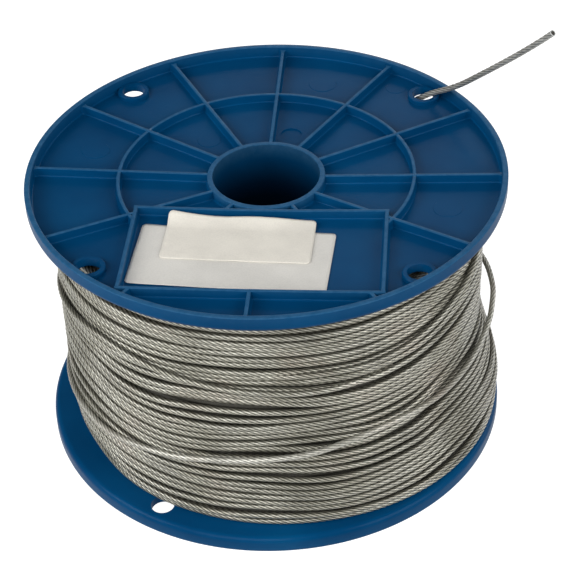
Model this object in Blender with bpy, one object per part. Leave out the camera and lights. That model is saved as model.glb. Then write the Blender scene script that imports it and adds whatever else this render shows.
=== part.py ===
"""A moulded plastic spool wound with plastic-coated steel wire rope.

The spool is two equal mouldings that meet half-way up. Each has a ribbed flange, half of the
barrel and half of the spindle tube. The winding is one solid between the flanges, with its
turns as grooves and three turns that cross over the others. The rope's free end comes off it,
up through an anchor hole. Units are metres and +Z is up.
The spool stands on its lower rim at z = 0 and its axis is the Z axis.
"""
import math

import bmesh
import bpy
from mathutils import Matrix, Vector
from mathutils.geometry import interpolate_bezier

# Spool
SPOOL_HEIGHT = 0.1421
FLANGE_RADIUS = 0.115
FLANGE_DEPTH = 0.0081
EDGE_ROUND = 0.0030
RIM_WALL = 0.0028
PLATE = 0.0019
DISH = 0.0024
BARREL_RADIUS = 0.0720
BARREL_WALL = 0.0025
HUB_RADIUS = 0.02825
BORE_RADIUS = 0.0256
HUB_STAND = 0.0002
LOWER_TURN = math.radians(18.0)

# Ribs on the face of a flange
RIB_COUNT = 12
RIB_HEIGHT = 0.0044
RIB_WIDTH = 0.0020
RING_STEP = 0.0001
WALL_STEP = 0.0001

# Label pocket, centred on the -Y side
POCKET_WIDTH = 0.1172
POCKET_NEAR = 0.0292
POCKET_TO_RIM = 0.0031

# Anchor holes
HOLE_COUNT = 4
HOLE_CIRCLE = 0.105
HOLE_RADIUS = 0.00575
COLLAR_WALL = 0.0022
COLLAR_HEIGHT = 0.0022

# Rope and winding
ROPE_DIAMETER = 0.003
WINDING_RADIUS = 0.1045
TURN_PITCH = 0.0043
TURN_GROOVE = 0.0011

# The low turns bulge out on the +X side
BULGE = 0.0104
BULGE_SPREAD = math.radians(132.0)
BULGE_LOW = 0.018
BULGE_HIGH = 0.075
BULGE_FALL = 1.5

# The lowest turns are tight at one place
TIGHT = 0.0034
TIGHT_AT = math.radians(-148.0)
TIGHT_SPREAD = math.radians(20.0)
TIGHT_LOW = 0.014
TIGHT_HIGH = 0.024

# Turns that cross over the others. Each point is an azimuth in degrees, a height and how far
# the rope's centre stands out from the winding; the first turn hangs slack on the +X side.
CROSSING_TURNS = (
    (
        (-196.0, 0.0330, -0.0037), (-182.0, 0.0345, -0.0016), (-168.0, 0.0358, 0.0001),
        (-158.0, 0.0370, 0.0006), (-145.0, 0.0382, 0.0009), (-134.0, 0.0393, 0.0013),
        (-123.0, 0.0427, 0.0014), (-110.0, 0.0460, 0.0014), (-99.8, 0.0493, 0.0014),
        (-87.6, 0.0516, 0.0013), (-76.4, 0.0532, 0.0012), (-65.3, 0.0566, 0.0012),
        (-54.2, 0.0585, 0.0012), (-45.0, 0.0585, 0.0012), (-37.0, 0.0585, 0.0013),
        (-26.0, 0.0600, 0.0014), (-16.7, 0.0604, 0.0018), (-10.0, 0.0606, 0.0025),
        (-4.0, 0.0610, 0.0041), (1.0, 0.0615, 0.0052), (6.0, 0.0620, 0.0066),
        (11.0, 0.0625, 0.0071), (17.0, 0.0625, 0.0076), (30.0, 0.0620, 0.0065),
        (45.0, 0.0610, 0.0040), (60.0, 0.0600, 0.0018), (80.0, 0.0585, 0.0008),
        (100.0, 0.0570, -0.0009), (118.0, 0.0560, -0.0035),
    ),
    (
        (-92.0, 0.0985, -0.0033), (-82.0, 0.0992, -0.0009), (-70.0, 0.0994, 0.0008),
        (-58.0, 0.0986, 0.0012), (-45.0, 0.1013, 0.0012), (-37.0, 0.1043, 0.0012),
        (-25.0, 0.1105, 0.0010), (-14.0, 0.1155, 0.0001), (-2.0, 0.1190, -0.0015),
        (10.0, 0.1205, -0.0037),
    ),
    (
        (-176.0, 0.0925, -0.0037), (-164.0, 0.0945, -0.0009), (-154.0, 0.0965, 0.0005),
        (-144.0, 0.0985, 0.0010), (-134.0, 0.1000, 0.0011), (-124.0, 0.0985, 0.0010),
        (-112.0, 0.0958, 0.0010), (-100.0, 0.0935, 0.0010), (-88.0, 0.0915, 0.0009),
        (-76.0, 0.0892, 0.0002), (-64.0, 0.0880, -0.0013), (-52.0, 0.0875, -0.0037),
    ),
)

# Space at the top of the winding where the free end leaves it
NOTCH_RADIUS = 0.1021
NOTCH_DEPTH = 0.0085
NOTCH_FROM = math.radians(30.0)
NOTCH_TO = math.radians(100.0)

# Paper labels: each one's distance from the pocket's walls, and its turn
PAPER = 0.0002
LARGE_LEFT = 0.00275
LARGE_RIGHT = 0.02395
LARGE_NEAR = 0.0108
LARGE_FAR = 0.0060
LARGE_TURN = math.radians(-3.0)
SMALL_LEFT = 0.0153
SMALL_RIGHT = 0.0329
SMALL_NEAR = 0.0036
SMALL_FAR = 0.0262
SMALL_TURN = math.radians(-1.8)

# Clearance between touching pieces
GAP = 0.0003

# Free end of the rope: from the winding, through the anchor hole, to the cut end
TAIL_ROUTE = (
    (-0.0163, 0.1029, 0.1284),
    (-0.0018, 0.1042, 0.1284),
    (0.0127, 0.1034, 0.1284),
    (0.0270, 0.1006, 0.1284),
    (0.0407, 0.0959, 0.1284),
    (0.0521, 0.0902, 0.1284),
    (0.0624, 0.0835, 0.1285),
    (0.0664, 0.0804, 0.1294),
    (0.0697, 0.0778, 0.1317),
    (0.0742, 0.0742, 0.1362),
    (0.0788, 0.0707, 0.1406),
    (0.0859, 0.0651, 0.1463),
    (0.0932, 0.0595, 0.1530),
    (0.1016, 0.0529, 0.1622),
    (0.1107, 0.0457, 0.1725),
    (0.1196, 0.0388, 0.1828),
    (0.1282, 0.0321, 0.1933),
    (0.1337, 0.0278, 0.2004),
)

# Mesh fineness
SPOOL_SIDES = 72
WINDING_SIDES = 48
HOLE_SIDES = 24
ROUND_STEPS = 3
RING_STEPS = 40
NOTCH_STEPS = 12
WALL_STEPS = 6
LABEL_COLUMNS = 8
LABEL_ROWS = 4
ROPE_SIDES = 8
TAIL_STEP = 2.2 * ROPE_DIAMETER

HALF_HEIGHT = 0.5 * (SPOOL_HEIGHT - GAP)
RIM_INNER = FLANGE_RADIUS - RIM_WALL
POCKET_FAR = math.sqrt((RIM_INNER - POCKET_TO_RIM) ** 2 - (0.5 * POCKET_WIDTH) ** 2)


def clear_scene():
    for item in list(bpy.data.objects):
        bpy.data.objects.remove(item, do_unlink=True)


def make_material(name, colour, roughness, metallic=0.0):
    material = bpy.data.materials.new(name)
    material.use_nodes = True
    shader = material.node_tree.nodes["Principled BSDF"]
    shader.inputs["Base Color"].default_value = (*colour, 1.0)
    shader.inputs["Roughness"].default_value = roughness
    shader.inputs["Metallic"].default_value = metallic
    return material


def add_object(name, mesh, material=None):
    item = bpy.data.objects.new(name, mesh)
    bpy.context.scene.collection.objects.link(item)
    if material is not None and not mesh.materials:
        mesh.materials.append(material)
    return item


def mesh_from(name, vertices, faces):
    """A closed mesh with its faces turned outwards."""
    mesh = bpy.data.meshes.new(name)
    shape = bmesh.new()
    corners = [shape.verts.new(point) for point in vertices]
    for face in faces:
        shape.faces.new([corners[index] for index in face])
    bmesh.ops.recalc_face_normals(shape, faces=shape.faces)
    shape.to_mesh(mesh)
    shape.free()
    return mesh


def turned(name, profile_at, sides):
    """A ring about Z from its closed profile of (radius, height) points at each angle."""
    count = len(profile_at(0.0))
    vertices = []
    for side in range(sides):
        angle = 2.0 * math.pi * side / sides
        for radius, height in profile_at(angle):
            vertices.append((radius * math.cos(angle), radius * math.sin(angle), height))
    faces = []
    for side in range(sides):
        after = (side + 1) % sides
        for index in range(count):
            following = (index + 1) % count
            faces.append((side * count + index, after * count + index,
                          after * count + following, side * count + following))
    return mesh_from(name, vertices, faces)


def sink(radius):
    """How far the dished flange lies below its edge at a radius."""
    return DISH * (RIM_INNER - radius) / (RIM_INNER - HUB_RADIUS)


def plate_top(radius):
    return PLATE - FLANGE_DEPTH - sink(radius)


def plate_bottom(radius):
    return plate_top(radius) - PLATE


def rib_top(radius):
    return plate_top(radius) + RIB_HEIGHT


def half_profile():
    """Section of one spool half, with its face up and the rim's edge at height 0."""
    hub_top = rib_top(HUB_RADIUS) + HUB_STAND
    profile = [
        (BORE_RADIUS, hub_top),
        (HUB_RADIUS, hub_top),
        (HUB_RADIUS, plate_top(HUB_RADIUS)),
        (RIM_INNER, plate_top(RIM_INNER)),
        (RIM_INNER, 0.0),
        (FLANGE_RADIUS, 0.0),
    ]
    for step in range(ROUND_STEPS + 1):
        angle = 0.5 * math.pi * step / ROUND_STEPS
        profile.append((FLANGE_RADIUS - EDGE_ROUND * (1.0 - math.cos(angle)),
                        EDGE_ROUND * (1.0 - math.sin(angle)) - FLANGE_DEPTH))
    inside = BARREL_RADIUS - BARREL_WALL
    profile += [
        (BARREL_RADIUS, plate_bottom(BARREL_RADIUS)),
        (BARREL_RADIUS, -HALF_HEIGHT),
        (inside, -HALF_HEIGHT),
        (inside, plate_bottom(inside)),
        (HUB_RADIUS, plate_bottom(HUB_RADIUS)),
        (HUB_RADIUS, -HALF_HEIGHT),
        (BORE_RADIUS, -HALF_HEIGHT),
    ]
    return profile


def strip_faces(count):
    """Faces of a closed bar through a number of four-cornered sections."""
    faces = [(0, 1, 2, 3)]
    for index in range(count - 1):
        here = 4 * index
        for corner in range(4):
            beside = (corner + 1) % 4
            faces.append((here + corner, here + 4 + corner, here + 4 + beside, here + beside))
    last = 4 * (count - 1)
    faces.append((last + 3, last + 2, last + 1, last))
    return faces


def cut(body, operation, tool):
    """Joins a tool to a body or takes it out, and hides the tool."""
    modifier = body.modifiers.new(tool.name, "BOOLEAN")
    modifier.operation = operation
    modifier.object = tool
    modifier.solver = "EXACT"
    tool.hide_render = True
    tool.display_type = "WIRE"


def rib_strip(name, points, step=0.0):
    """A rib along a line of plan points, rooted half-way into the plate."""
    vertices = []
    count = len(points)
    for index, point in enumerate(points):
        ahead = Vector(points[min(index + 1, count - 1)])
        behind = Vector(points[max(index - 1, 0)])
        along = (ahead - behind).normalized()
        across = Vector((-along.y, along.x)) * (0.5 * RIB_WIDTH)
        radius = Vector(point).length
        top = rib_top(radius) + step
        root = plate_top(radius) - 0.5 * PLATE
        left = Vector(point) + across
        right = Vector(point) - across
        vertices += [(left.x, left.y, top), (right.x, right.y, top),
                     (right.x, right.y, root), (left.x, left.y, root)]
    return add_object(name, mesh_from(name, vertices, strip_faces(count)))


def cylinder(name, centre, radius, low, high):
    shape = bmesh.new()
    bmesh.ops.create_cone(shape, cap_ends=True, segments=HOLE_SIDES, radius1=radius,
                          radius2=radius, depth=high - low)
    middle = Matrix.Translation((centre[0], centre[1], 0.5 * (low + high)))
    bmesh.ops.transform(shape, matrix=middle, verts=shape.verts)
    mesh = bpy.data.meshes.new(name)
    shape.to_mesh(mesh)
    shape.free()
    return add_object(name, mesh)


def rib_stretches(angle):
    """The radii between which a radial rib runs, with the label pocket left free."""
    x, y = math.cos(angle), math.sin(angle)
    start = 0.5 * (BORE_RADIUS + HUB_RADIUS)
    end = RIM_INNER + 0.5 * RIM_WALL
    if y > -1e-6:
        return [(start, end)]
    reach = 0.5 * POCKET_WIDTH / max(abs(x), 1e-6)
    enter = POCKET_NEAR / -y
    leave = min(POCKET_FAR / -y, reach)
    if enter >= leave:
        return [(start, end)]
    return [(start, enter), (leave, end)]


def make_ribs():
    """Radial ribs, the ring rib over the barrel and the walls of the label pocket."""
    ribs = []
    for index in range(RIB_COUNT):
        angle = 2.0 * math.pi * index / RIB_COUNT
        x, y = math.cos(angle), math.sin(angle)
        for part, (start, end) in enumerate(rib_stretches(angle)):
            if end - start > 0.5 * RIB_WIDTH:
                ribs.append(rib_strip(f"rib_{index}_{part}",
                                      [(start * x, start * y), (end * x, end * y)]))
    ring = BARREL_RADIUS - 0.5 * BARREL_WALL
    side = 0.5 * POCKET_WIDTH
    edge = math.acos(min(side / ring, 1.0))
    arc = []
    for step in range(RING_STEPS + 1):
        angle = -edge + (math.pi + 2.0 * edge) * step / RING_STEPS
        arc.append((ring * math.cos(angle), ring * math.sin(angle)))
    ribs.append(rib_strip("ring_rib", arc, -RING_STEP))
    over = 0.5 * RIB_WIDTH
    walls = (
        ("near", (-side - over, -POCKET_NEAR), (side + over, -POCKET_NEAR), WALL_STEP),
        ("far", (-side - over, -POCKET_FAR), (side + over, -POCKET_FAR), WALL_STEP),
        ("left", (-side, -POCKET_NEAR), (-side, -POCKET_FAR), 2.0 * WALL_STEP),
        ("right", (side, -POCKET_NEAR), (side, -POCKET_FAR), 2.0 * WALL_STEP),
    )
    for name, first, last, step in walls:
        line = [Vector(first).lerp(Vector(last), index / WALL_STEPS)
                for index in range(WALL_STEPS + 1)]
        ribs.append(rib_strip("pocket_" + name, line, step))
    return ribs


def hole_centres():
    for index in range(HOLE_COUNT):
        angle = 2.0 * math.pi * (index + 0.5) / HOLE_COUNT
        yield HOLE_CIRCLE * math.cos(angle), HOLE_CIRCLE * math.sin(angle)


def spool_half_mesh():
    """One moulding, face up, with its rim's edge at height 0."""
    profile = half_profile()
    body = add_object("moulding", turned("moulding", lambda angle: profile, SPOOL_SIDES))
    added = make_ribs()
    holes = []
    face = plate_top(HOLE_CIRCLE)
    for index, centre in enumerate(hole_centres()):
        added.append(cylinder(f"collar_{index}", centre, HOLE_RADIUS + COLLAR_WALL,
                              face - 0.5 * PLATE, face + COLLAR_HEIGHT))
        holes.append(cylinder(f"hole_{index}", centre, HOLE_RADIUS,
                              face - 2.0 * PLATE, face + 2.0 * COLLAR_HEIGHT))
    for tool in added:
        cut(body, "UNION", tool)
    for tool in holes:
        cut(body, "DIFFERENCE", tool)
    bpy.context.view_layer.update()
    graph = bpy.context.evaluated_depsgraph_get()
    mesh = bpy.data.meshes.new_from_object(body.evaluated_get(graph))
    mesh.name = "spool_half"
    for item in [body] + added + holes:
        bpy.data.objects.remove(item, do_unlink=True)
    return mesh


def make_spool(material):
    mesh = spool_half_mesh()
    mesh.materials.clear()
    mesh.materials.append(material)
    mesh.set_sharp_from_angle(angle=math.radians(30))
    upper = add_object("upper_spool_half", mesh)
    upper.location.z = SPOOL_HEIGHT
    lower = add_object("lower_spool_half", mesh)
    lower.rotation_euler = (math.pi, 0.0, LOWER_TURN)
    return upper, lower


def notch_cutter():
    """A block bent round the winding, where the free end lies under the flange."""
    low = SPOOL_HEIGHT + plate_bottom(NOTCH_RADIUS) - NOTCH_DEPTH
    high = SPOOL_HEIGHT
    outer = WINDING_RADIUS + ROPE_DIAMETER
    vertices = []
    for step in range(NOTCH_STEPS + 1):
        angle = NOTCH_FROM + (NOTCH_TO - NOTCH_FROM) * step / NOTCH_STEPS
        for radius, height in ((NOTCH_RADIUS, low), (outer, low),
                               (outer, high), (NOTCH_RADIUS, high)):
            vertices.append((radius * math.cos(angle), radius * math.sin(angle), height))
    return add_object("notch", mesh_from("notch", vertices, strip_faces(NOTCH_STEPS + 1)))


def ease(value):
    """A smooth step from 0 to 1."""
    value = min(max(value, 0.0), 1.0)
    return value * value * (3.0 - 2.0 * value)


def winding_radius(angle, height):
    """The winding's outer radius, with the bulge and the tight place of its low turns."""
    turn = abs(math.remainder(angle, 2.0 * math.pi))
    side = math.cos(0.5 * math.pi * min(turn / BULGE_SPREAD, 1.0)) ** 2
    fall = ease((BULGE_HIGH - height) / (BULGE_HIGH - BULGE_LOW)) ** BULGE_FALL
    away = math.remainder(angle - TIGHT_AT, 2.0 * math.pi) / TIGHT_SPREAD
    low = ease((TIGHT_HIGH - height) / (TIGHT_HIGH - TIGHT_LOW))
    return WINDING_RADIUS + BULGE * side * fall - TIGHT * math.exp(-away ** 2) * low


def tube(name, line):
    """A closed rope-thick tube along a line about the Z axis."""
    vertices = []
    count = len(line)
    for index, point in enumerate(line):
        along = (line[min(index + 1, count - 1)] - line[max(index - 1, 0)]).normalized()
        outward = Vector((point.x, point.y, 0.0))
        first = (outward - outward.dot(along) * along).normalized()
        second = along.cross(first)
        for side in range(ROPE_SIDES):
            angle = 2.0 * math.pi * (side + 0.5) / ROPE_SIDES
            reach = math.cos(angle) * first + math.sin(angle) * second
            vertices.append(point + 0.5 * ROPE_DIAMETER * reach)
    faces = [tuple(range(ROPE_SIDES))]
    for index in range(count - 1):
        here = ROPE_SIDES * index
        for side in range(ROPE_SIDES):
            beside = (side + 1) % ROPE_SIDES
            faces.append((here + side, here + ROPE_SIDES + side,
                          here + ROPE_SIDES + beside, here + beside))
    faces.append(tuple(range(ROPE_SIDES * count - 1, ROPE_SIDES * (count - 1) - 1, -1)))
    return add_object(name, mesh_from(name, vertices, faces))


def crossing_turn(name, route):
    """A turn that lies over the others, with both of its ends between them."""
    points = []
    for azimuth, height, stand in route:
        angle = math.radians(azimuth)
        radius = winding_radius(angle, height) + stand
        points.append((radius * math.cos(angle), radius * math.sin(angle), height))
    return tube(name, smooth_line(points, TAIL_STEP))


def make_winding(material):
    """The wound rope as one solid, with a groove between its turns."""
    bore = (BARREL_RADIUS + GAP) / math.cos(math.pi / WINDING_SIDES)
    valley = WINDING_RADIUS - TURN_GROOVE

    def low(radius):
        return GAP - plate_bottom(radius)

    height = SPOOL_HEIGHT - 2.0 * low(valley)
    turns = max(int(height / TURN_PITCH), 1)
    pitch = height / turns

    def profile_at(angle):
        profile = [(bore, low(bore))]
        for step in range(2 * turns + 1):
            place = low(valley) + 0.5 * step * pitch
            groove = 0.0 if step % 2 else TURN_GROOVE
            profile.append((winding_radius(angle, place) - groove, place))
        profile.append((bore, SPOOL_HEIGHT - low(bore)))
        return profile

    winding = add_object("rope_winding", turned("rope_winding", profile_at, WINDING_SIDES),
                         material)
    for index, route in enumerate(CROSSING_TURNS):
        cut(winding, "UNION", crossing_turn(f"crossing_turn_{index}", route))
    cut(winding, "DIFFERENCE", notch_cutter())
    return winding


def smooth_line(route, spacing):
    """Points at an even spacing along a smooth curve through the route."""
    points = [Vector(point) for point in route]
    count = len(points)
    tangents = []
    for index in range(count):
        ahead = points[min(index + 1, count - 1)]
        behind = points[max(index - 1, 0)]
        tangents.append((ahead - behind) / (2.0 if 0 < index < count - 1 else 1.0))
    dense = [points[0]]
    for index in range(count - 1):
        start, end = points[index], points[index + 1]
        curve = interpolate_bezier(start, start + tangents[index] / 3.0,
                                   end - tangents[index + 1] / 3.0, end, 24)
        dense += curve[1:]
    lengths = [0.0]
    for before, after in zip(dense, dense[1:]):
        lengths.append(lengths[-1] + (after - before).length)
    steps = max(int(round(lengths[-1] / spacing)), 1)
    line = []
    place = 0
    for step in range(steps + 1):
        wanted = lengths[-1] * step / steps
        while place < len(dense) - 2 and lengths[place + 1] < wanted:
            place += 1
        share = (wanted - lengths[place]) / (lengths[place + 1] - lengths[place])
        line.append(dense[place].lerp(dense[place + 1], share))
    return line


def make_tail(material):
    """The rope's free end, as a tube along its route."""
    line = smooth_line(TAIL_ROUTE, TAIL_STEP)
    curve = bpy.data.curves.new("rope_tail", "CURVE")
    curve.dimensions = "3D"
    curve.bevel_depth = 0.5 * ROPE_DIAMETER
    curve.bevel_resolution = 2
    curve.use_fill_caps = True
    spline = curve.splines.new("POLY")
    spline.points.add(len(line) - 1)
    for place, point in zip(spline.points, line):
        place.co = (*point, 1.0)
    curve.materials.append(material)
    tail = bpy.data.objects.new("rope_tail", curve)
    bpy.context.scene.collection.objects.link(tail)
    return tail


def make_label(name, margins, turn, lift, material):
    """A paper label that lies on the dished plate, set in from the pocket's four walls."""
    left, right, near, far = margins
    width = POCKET_WIDTH - left - right
    height = POCKET_FAR - POCKET_NEAR - near - far
    centre = (0.5 * (left - right), -0.5 * (POCKET_NEAR + near + POCKET_FAR - far))
    columns, rows = LABEL_COLUMNS, LABEL_ROWS
    vertices = []
    for side in (0.0, PAPER):
        for row in range(rows + 1):
            for column in range(columns + 1):
                x = width * (column / columns - 0.5)
                y = height * (row / rows - 0.5)
                plan = Vector((x, y, 0.0))
                plan.rotate(Matrix.Rotation(turn, 3, "Z"))
                plan += Vector((*centre, 0.0))
                floor = SPOOL_HEIGHT + plate_top(plan.length) + lift
                vertices.append((plan.x, plan.y, floor + side))
    across = columns + 1
    layer = across * (rows + 1)
    faces = []
    for row in range(rows):
        for column in range(columns):
            here = row * across + column
            faces.append((here, here + across, here + across + 1, here + 1))
            faces.append((layer + here, layer + here + 1,
                          layer + here + across + 1, layer + here + across))
    edge = list(range(across))
    edge += [row * across + columns for row in range(1, rows + 1)]
    edge += [rows * across + column for column in range(columns - 1, -1, -1)]
    edge += [row * across for row in range(rows - 1, 0, -1)]
    for before, after in zip(edge, edge[1:] + edge[:1]):
        faces.append((before, after, layer + after, layer + before))
    return add_object(name, mesh_from(name, vertices, faces), material)


def main():
    clear_scene()
    plastic = make_material("blue_plastic", (0.004, 0.070, 0.180), 0.42)
    rope = make_material("coated_steel_rope", (0.42, 0.41, 0.36), 0.35, 0.7)
    white_paper = make_material("white_paper", (0.62, 0.61, 0.59), 0.75)
    cream_paper = make_material("cream_paper", (0.70, 0.65, 0.58), 0.75)
    make_spool(plastic)
    make_winding(rope)
    make_tail(rope)
    large = (LARGE_LEFT, LARGE_RIGHT, LARGE_NEAR, LARGE_FAR)
    small = (SMALL_LEFT, SMALL_RIGHT, SMALL_NEAR, SMALL_FAR)
    make_label("large_label", large, LARGE_TURN, GAP, white_paper)
    make_label("small_label", small, SMALL_TURN, 2.0 * GAP + PAPER, cream_paper)


main()
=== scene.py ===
"""The finish of a moulded plastic spool wound with plastic-coated steel wire rope.

The winding is made of real turns of rope over a layer of deeper turns and a core, with four
turns that cross the others. Units are metres and +Z is up; azimuths are in degrees from +X.
"""
import math

import bmesh
import bpy
import numpy as np
from mathutils import Matrix, Vector
from mathutils.geometry import interpolate_bezier


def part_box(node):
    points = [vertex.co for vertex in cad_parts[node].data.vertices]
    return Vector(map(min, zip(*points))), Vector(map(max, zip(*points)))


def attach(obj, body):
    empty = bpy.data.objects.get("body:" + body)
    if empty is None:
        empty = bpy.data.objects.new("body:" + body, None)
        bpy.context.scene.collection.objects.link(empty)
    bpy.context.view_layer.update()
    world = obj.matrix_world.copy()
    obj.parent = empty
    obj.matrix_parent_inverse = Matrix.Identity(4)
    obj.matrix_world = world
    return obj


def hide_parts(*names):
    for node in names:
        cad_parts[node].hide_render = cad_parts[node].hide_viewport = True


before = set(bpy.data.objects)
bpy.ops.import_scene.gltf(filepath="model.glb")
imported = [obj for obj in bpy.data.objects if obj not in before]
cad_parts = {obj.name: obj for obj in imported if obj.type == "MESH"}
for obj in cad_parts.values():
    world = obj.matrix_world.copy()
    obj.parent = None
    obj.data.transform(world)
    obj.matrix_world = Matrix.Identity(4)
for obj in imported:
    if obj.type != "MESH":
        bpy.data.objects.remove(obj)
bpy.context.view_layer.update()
BODY = "root"

# Spool: its reach from the frame, the rest as in the part's own source
SPOOL_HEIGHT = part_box("upper_spool_half")[1].z
FLANGE_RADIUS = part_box("upper_spool_half")[1].x
HALF_HEIGHT = SPOOL_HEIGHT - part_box("upper_spool_half")[0].z
FLANGE_DEPTH = 0.0081
EDGE_ROUND = 0.0030
RIM_WALL = 0.0028
RIM_INNER = FLANGE_RADIUS - RIM_WALL
PLATE = 0.0019
DISH = 0.0024
BARREL_RADIUS = 0.0720
BARREL_WALL = 0.0025
HUB_RADIUS = 0.02825
BORE_RADIUS = 0.0256
HUB_STAND = 0.0002
LOWER_TURN = math.radians(18.0)
RIB_COUNT = 12
RIB_HEIGHT = 0.0044
RIB_WIDTH = 0.0020
POCKET_WIDTH = 0.1172
POCKET_NEAR = 0.0292
POCKET_TO_RIM = 0.0031
POCKET_FAR = math.sqrt((RIM_INNER - POCKET_TO_RIM) ** 2 - (0.5 * POCKET_WIDTH) ** 2)
HOLE_COUNT = 4
HOLE_CIRCLE = 0.105
HOLE_RADIUS = 0.00575
COLLAR_WALL = 0.0022
COLLAR_HEIGHT = 0.0022

# Fine shape of the moulding
FILLET = 0.0009
RIM_ROUND = 0.0006
HUB_ROUND = 0.0004
RIB_ROUND = 0.0004
RIB_DRAFT = 0.0001
RIB_SUNK = 0.00007
FLARE = 0.0011
COLLAR_EASE = 0.0004
SPOOL_SIDES = 240
HOLE_SIDES = 48
RING_STEPS = 150
WALL_STEPS = 12

# Ribs that cross stand at slightly different heights, so that no two faces coincide
RING_RISE = -0.0001
POCKET_RISES = {"near": 0.0001, "far": 0.00013, "left": 0.0002, "right": 0.00023}

# Round marks that the mould left on the plate, and one shallow pit: centre and radius
MARK_RISE = 0.00016
MARK_EASE = 0.00012
MARKS = (
    ((-0.0861, 0.0228), 0.0070),
    ((0.0223, 0.0865), 0.0070),
    ((0.0600, 0.0830), 0.0052),
    ((-0.0313, 0.0345), 0.0058),
    ((0.0867, -0.0218), 0.0070),
)
PIT = ((0.0090, 0.0413), 0.0052)
PIT_DEPTH = 0.0006

# Painted shade in the bore: where it begins, how far down it is darkest, and the bore's rings
BORE_TOP = PLATE - FLANGE_DEPTH - DISH + RIB_HEIGHT
BORE_SHADE_REACH = 0.030
BORE_SHADE_RINGS = (0.040, 0.030, 0.022, 0.015, 0.008)

# Rope
ROPE_RADIUS = 0.0015
STRANDS = 6
STRAND_RELIEF = 0.00010
WIRES = 3 * STRANDS
WIRE_SHARE = 0.16
LAY = 0.0204
ROPE_SIDES = 12
RING_STEP = LAY / ROPE_SIDES

# Finishes of the rope: name, how dark its sides are (painted shade), and its tones from grooves
# to crowns (painted shade to highlight)
ROPE_FINISH = ("coated_wire_rope", 0.62, (0.066, 0.063, 0.050), (0.21, 0.206, 0.175),
               (0.49, 0.482, 0.43), (0.95, 0.94, 0.86))
# The slack turn's finish is a paler copy of the rope's: painted light on that turn, with less
# painted shade on its sides.
LIT_LOOSE_ROPE_FINISH = ("coated_loose_rope_painted_light", 0.10, (0.24, 0.238, 0.222), (0.40, 0.396, 0.372),
                     (0.68, 0.67, 0.63), (1.0, 0.99, 0.94))
ROPE_END_FINISH = ("coated_rope_end", 0.0, (0.235, 0.235, 0.232), (0.345, 0.345, 0.34),
                   (0.525, 0.525, 0.515), (0.83, 0.83, 0.82))

# Turns of the outer layer: rows from the lower flange to the upper one
ROWS = 33
LOW_ROW = 0.01005
HIGH_ROW = 0.1316
END_ROW = 0.1284
END_AZIMUTH = 99.0
END_RADIUS = 0.1042
CLIMB_FROM = 47.0
CLIMB_TO = 5.0
FIRST_TURN = (END_AZIMUTH - CLIMB_FROM) / 360.0
START_EASE = 0.12
END_EASE = 0.07
ROW_RADIUS = 0.1030
NEAREST = 0.00298
SPREAD_PASSES = 400
GAP_FADE = 1.8
SUNK = 0.00090
WAVES = 6
SEED = 11

# At the back the rows end lower: the front's azimuth, and where the back begins from it
FRONT = -80.0
BACK_FROM = 95.0
BACK_EASE = 45.0

# Layer below, which lies deeper under a wide gap, and the core below that
UNDER_DEPTH = 0.0027
UNDER_SIDES = 10
OPEN_GAP = 0.0045
MOST_DEEPER = 0.0015
CORE_DEPTH = 0.0046
CORE_WAVE = 0.0007
CORE_STEPS = 6
CORE_SIDES = 180
CORE_CLEARANCE = 0.0004

# The lower turns bulge out on the right, and are tight at the lower left
BULGE = 0.0104
BULGE_SPREAD = 132.0
BULGE_LOW = 0.018
BULGE_HIGH = 0.075
BULGE_FALL = 1.5
TIGHT = 0.0034
TIGHT_AT = -148.0
TIGHT_SPREAD = 20.0
TIGHT_LOW = 0.014
TIGHT_HIGH = 0.024

# Wide gaps between rows: height, azimuth, reach in degrees, opening
WIDE_GAPS = (
    (0.1205, -85.0, 40.0, 0.0006), (0.1105, -125.0, 34.0, 0.0011),
    (0.1105, -48.0, 26.0, 0.0010), (0.1025, -98.0, 48.0, 0.0016),
    (0.0935, -78.0, 16.0, 0.0010), (0.0875, -112.0, 30.0, 0.0009),
    (0.0855, -46.0, 44.0, 0.0013), (0.0795, -88.0, 30.0, 0.0009),
    (0.0730, -100.0, 30.0, 0.0009), (0.0650, -118.0, 26.0, 0.0009),
    (0.0575, -122.0, 36.0, 0.0012), (0.0545, -72.0, 22.0, 0.0018),
    (0.0510, -128.0, 26.0, 0.0010), (0.0435, -128.0, 20.0, 0.0010),
    (0.0365, -52.0, 40.0, 0.0015), (0.0265, -118.0, 34.0, 0.0011),
    (0.0215, -62.0, 40.0, 0.0010), (0.0195, -30.0, 30.0, 0.0011),
    (0.0120, -84.0, 36.0, 0.0010),
)

# Places where the rows rise or sink together: height, its spread, azimuth, its spread, rise
SWAYS = (
    (0.072, 0.030, -142.0, 13.0, 0.0024),
    (0.088, 0.013, -125.0, 25.0, 0.0036),
    (0.088, 0.013, -65.0, 25.0, -0.0034),
    (0.066, 0.022, -168.0, 22.0, 0.0075),
    (0.104, 0.011, -18.0, 20.0, 0.0055),
)

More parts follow.
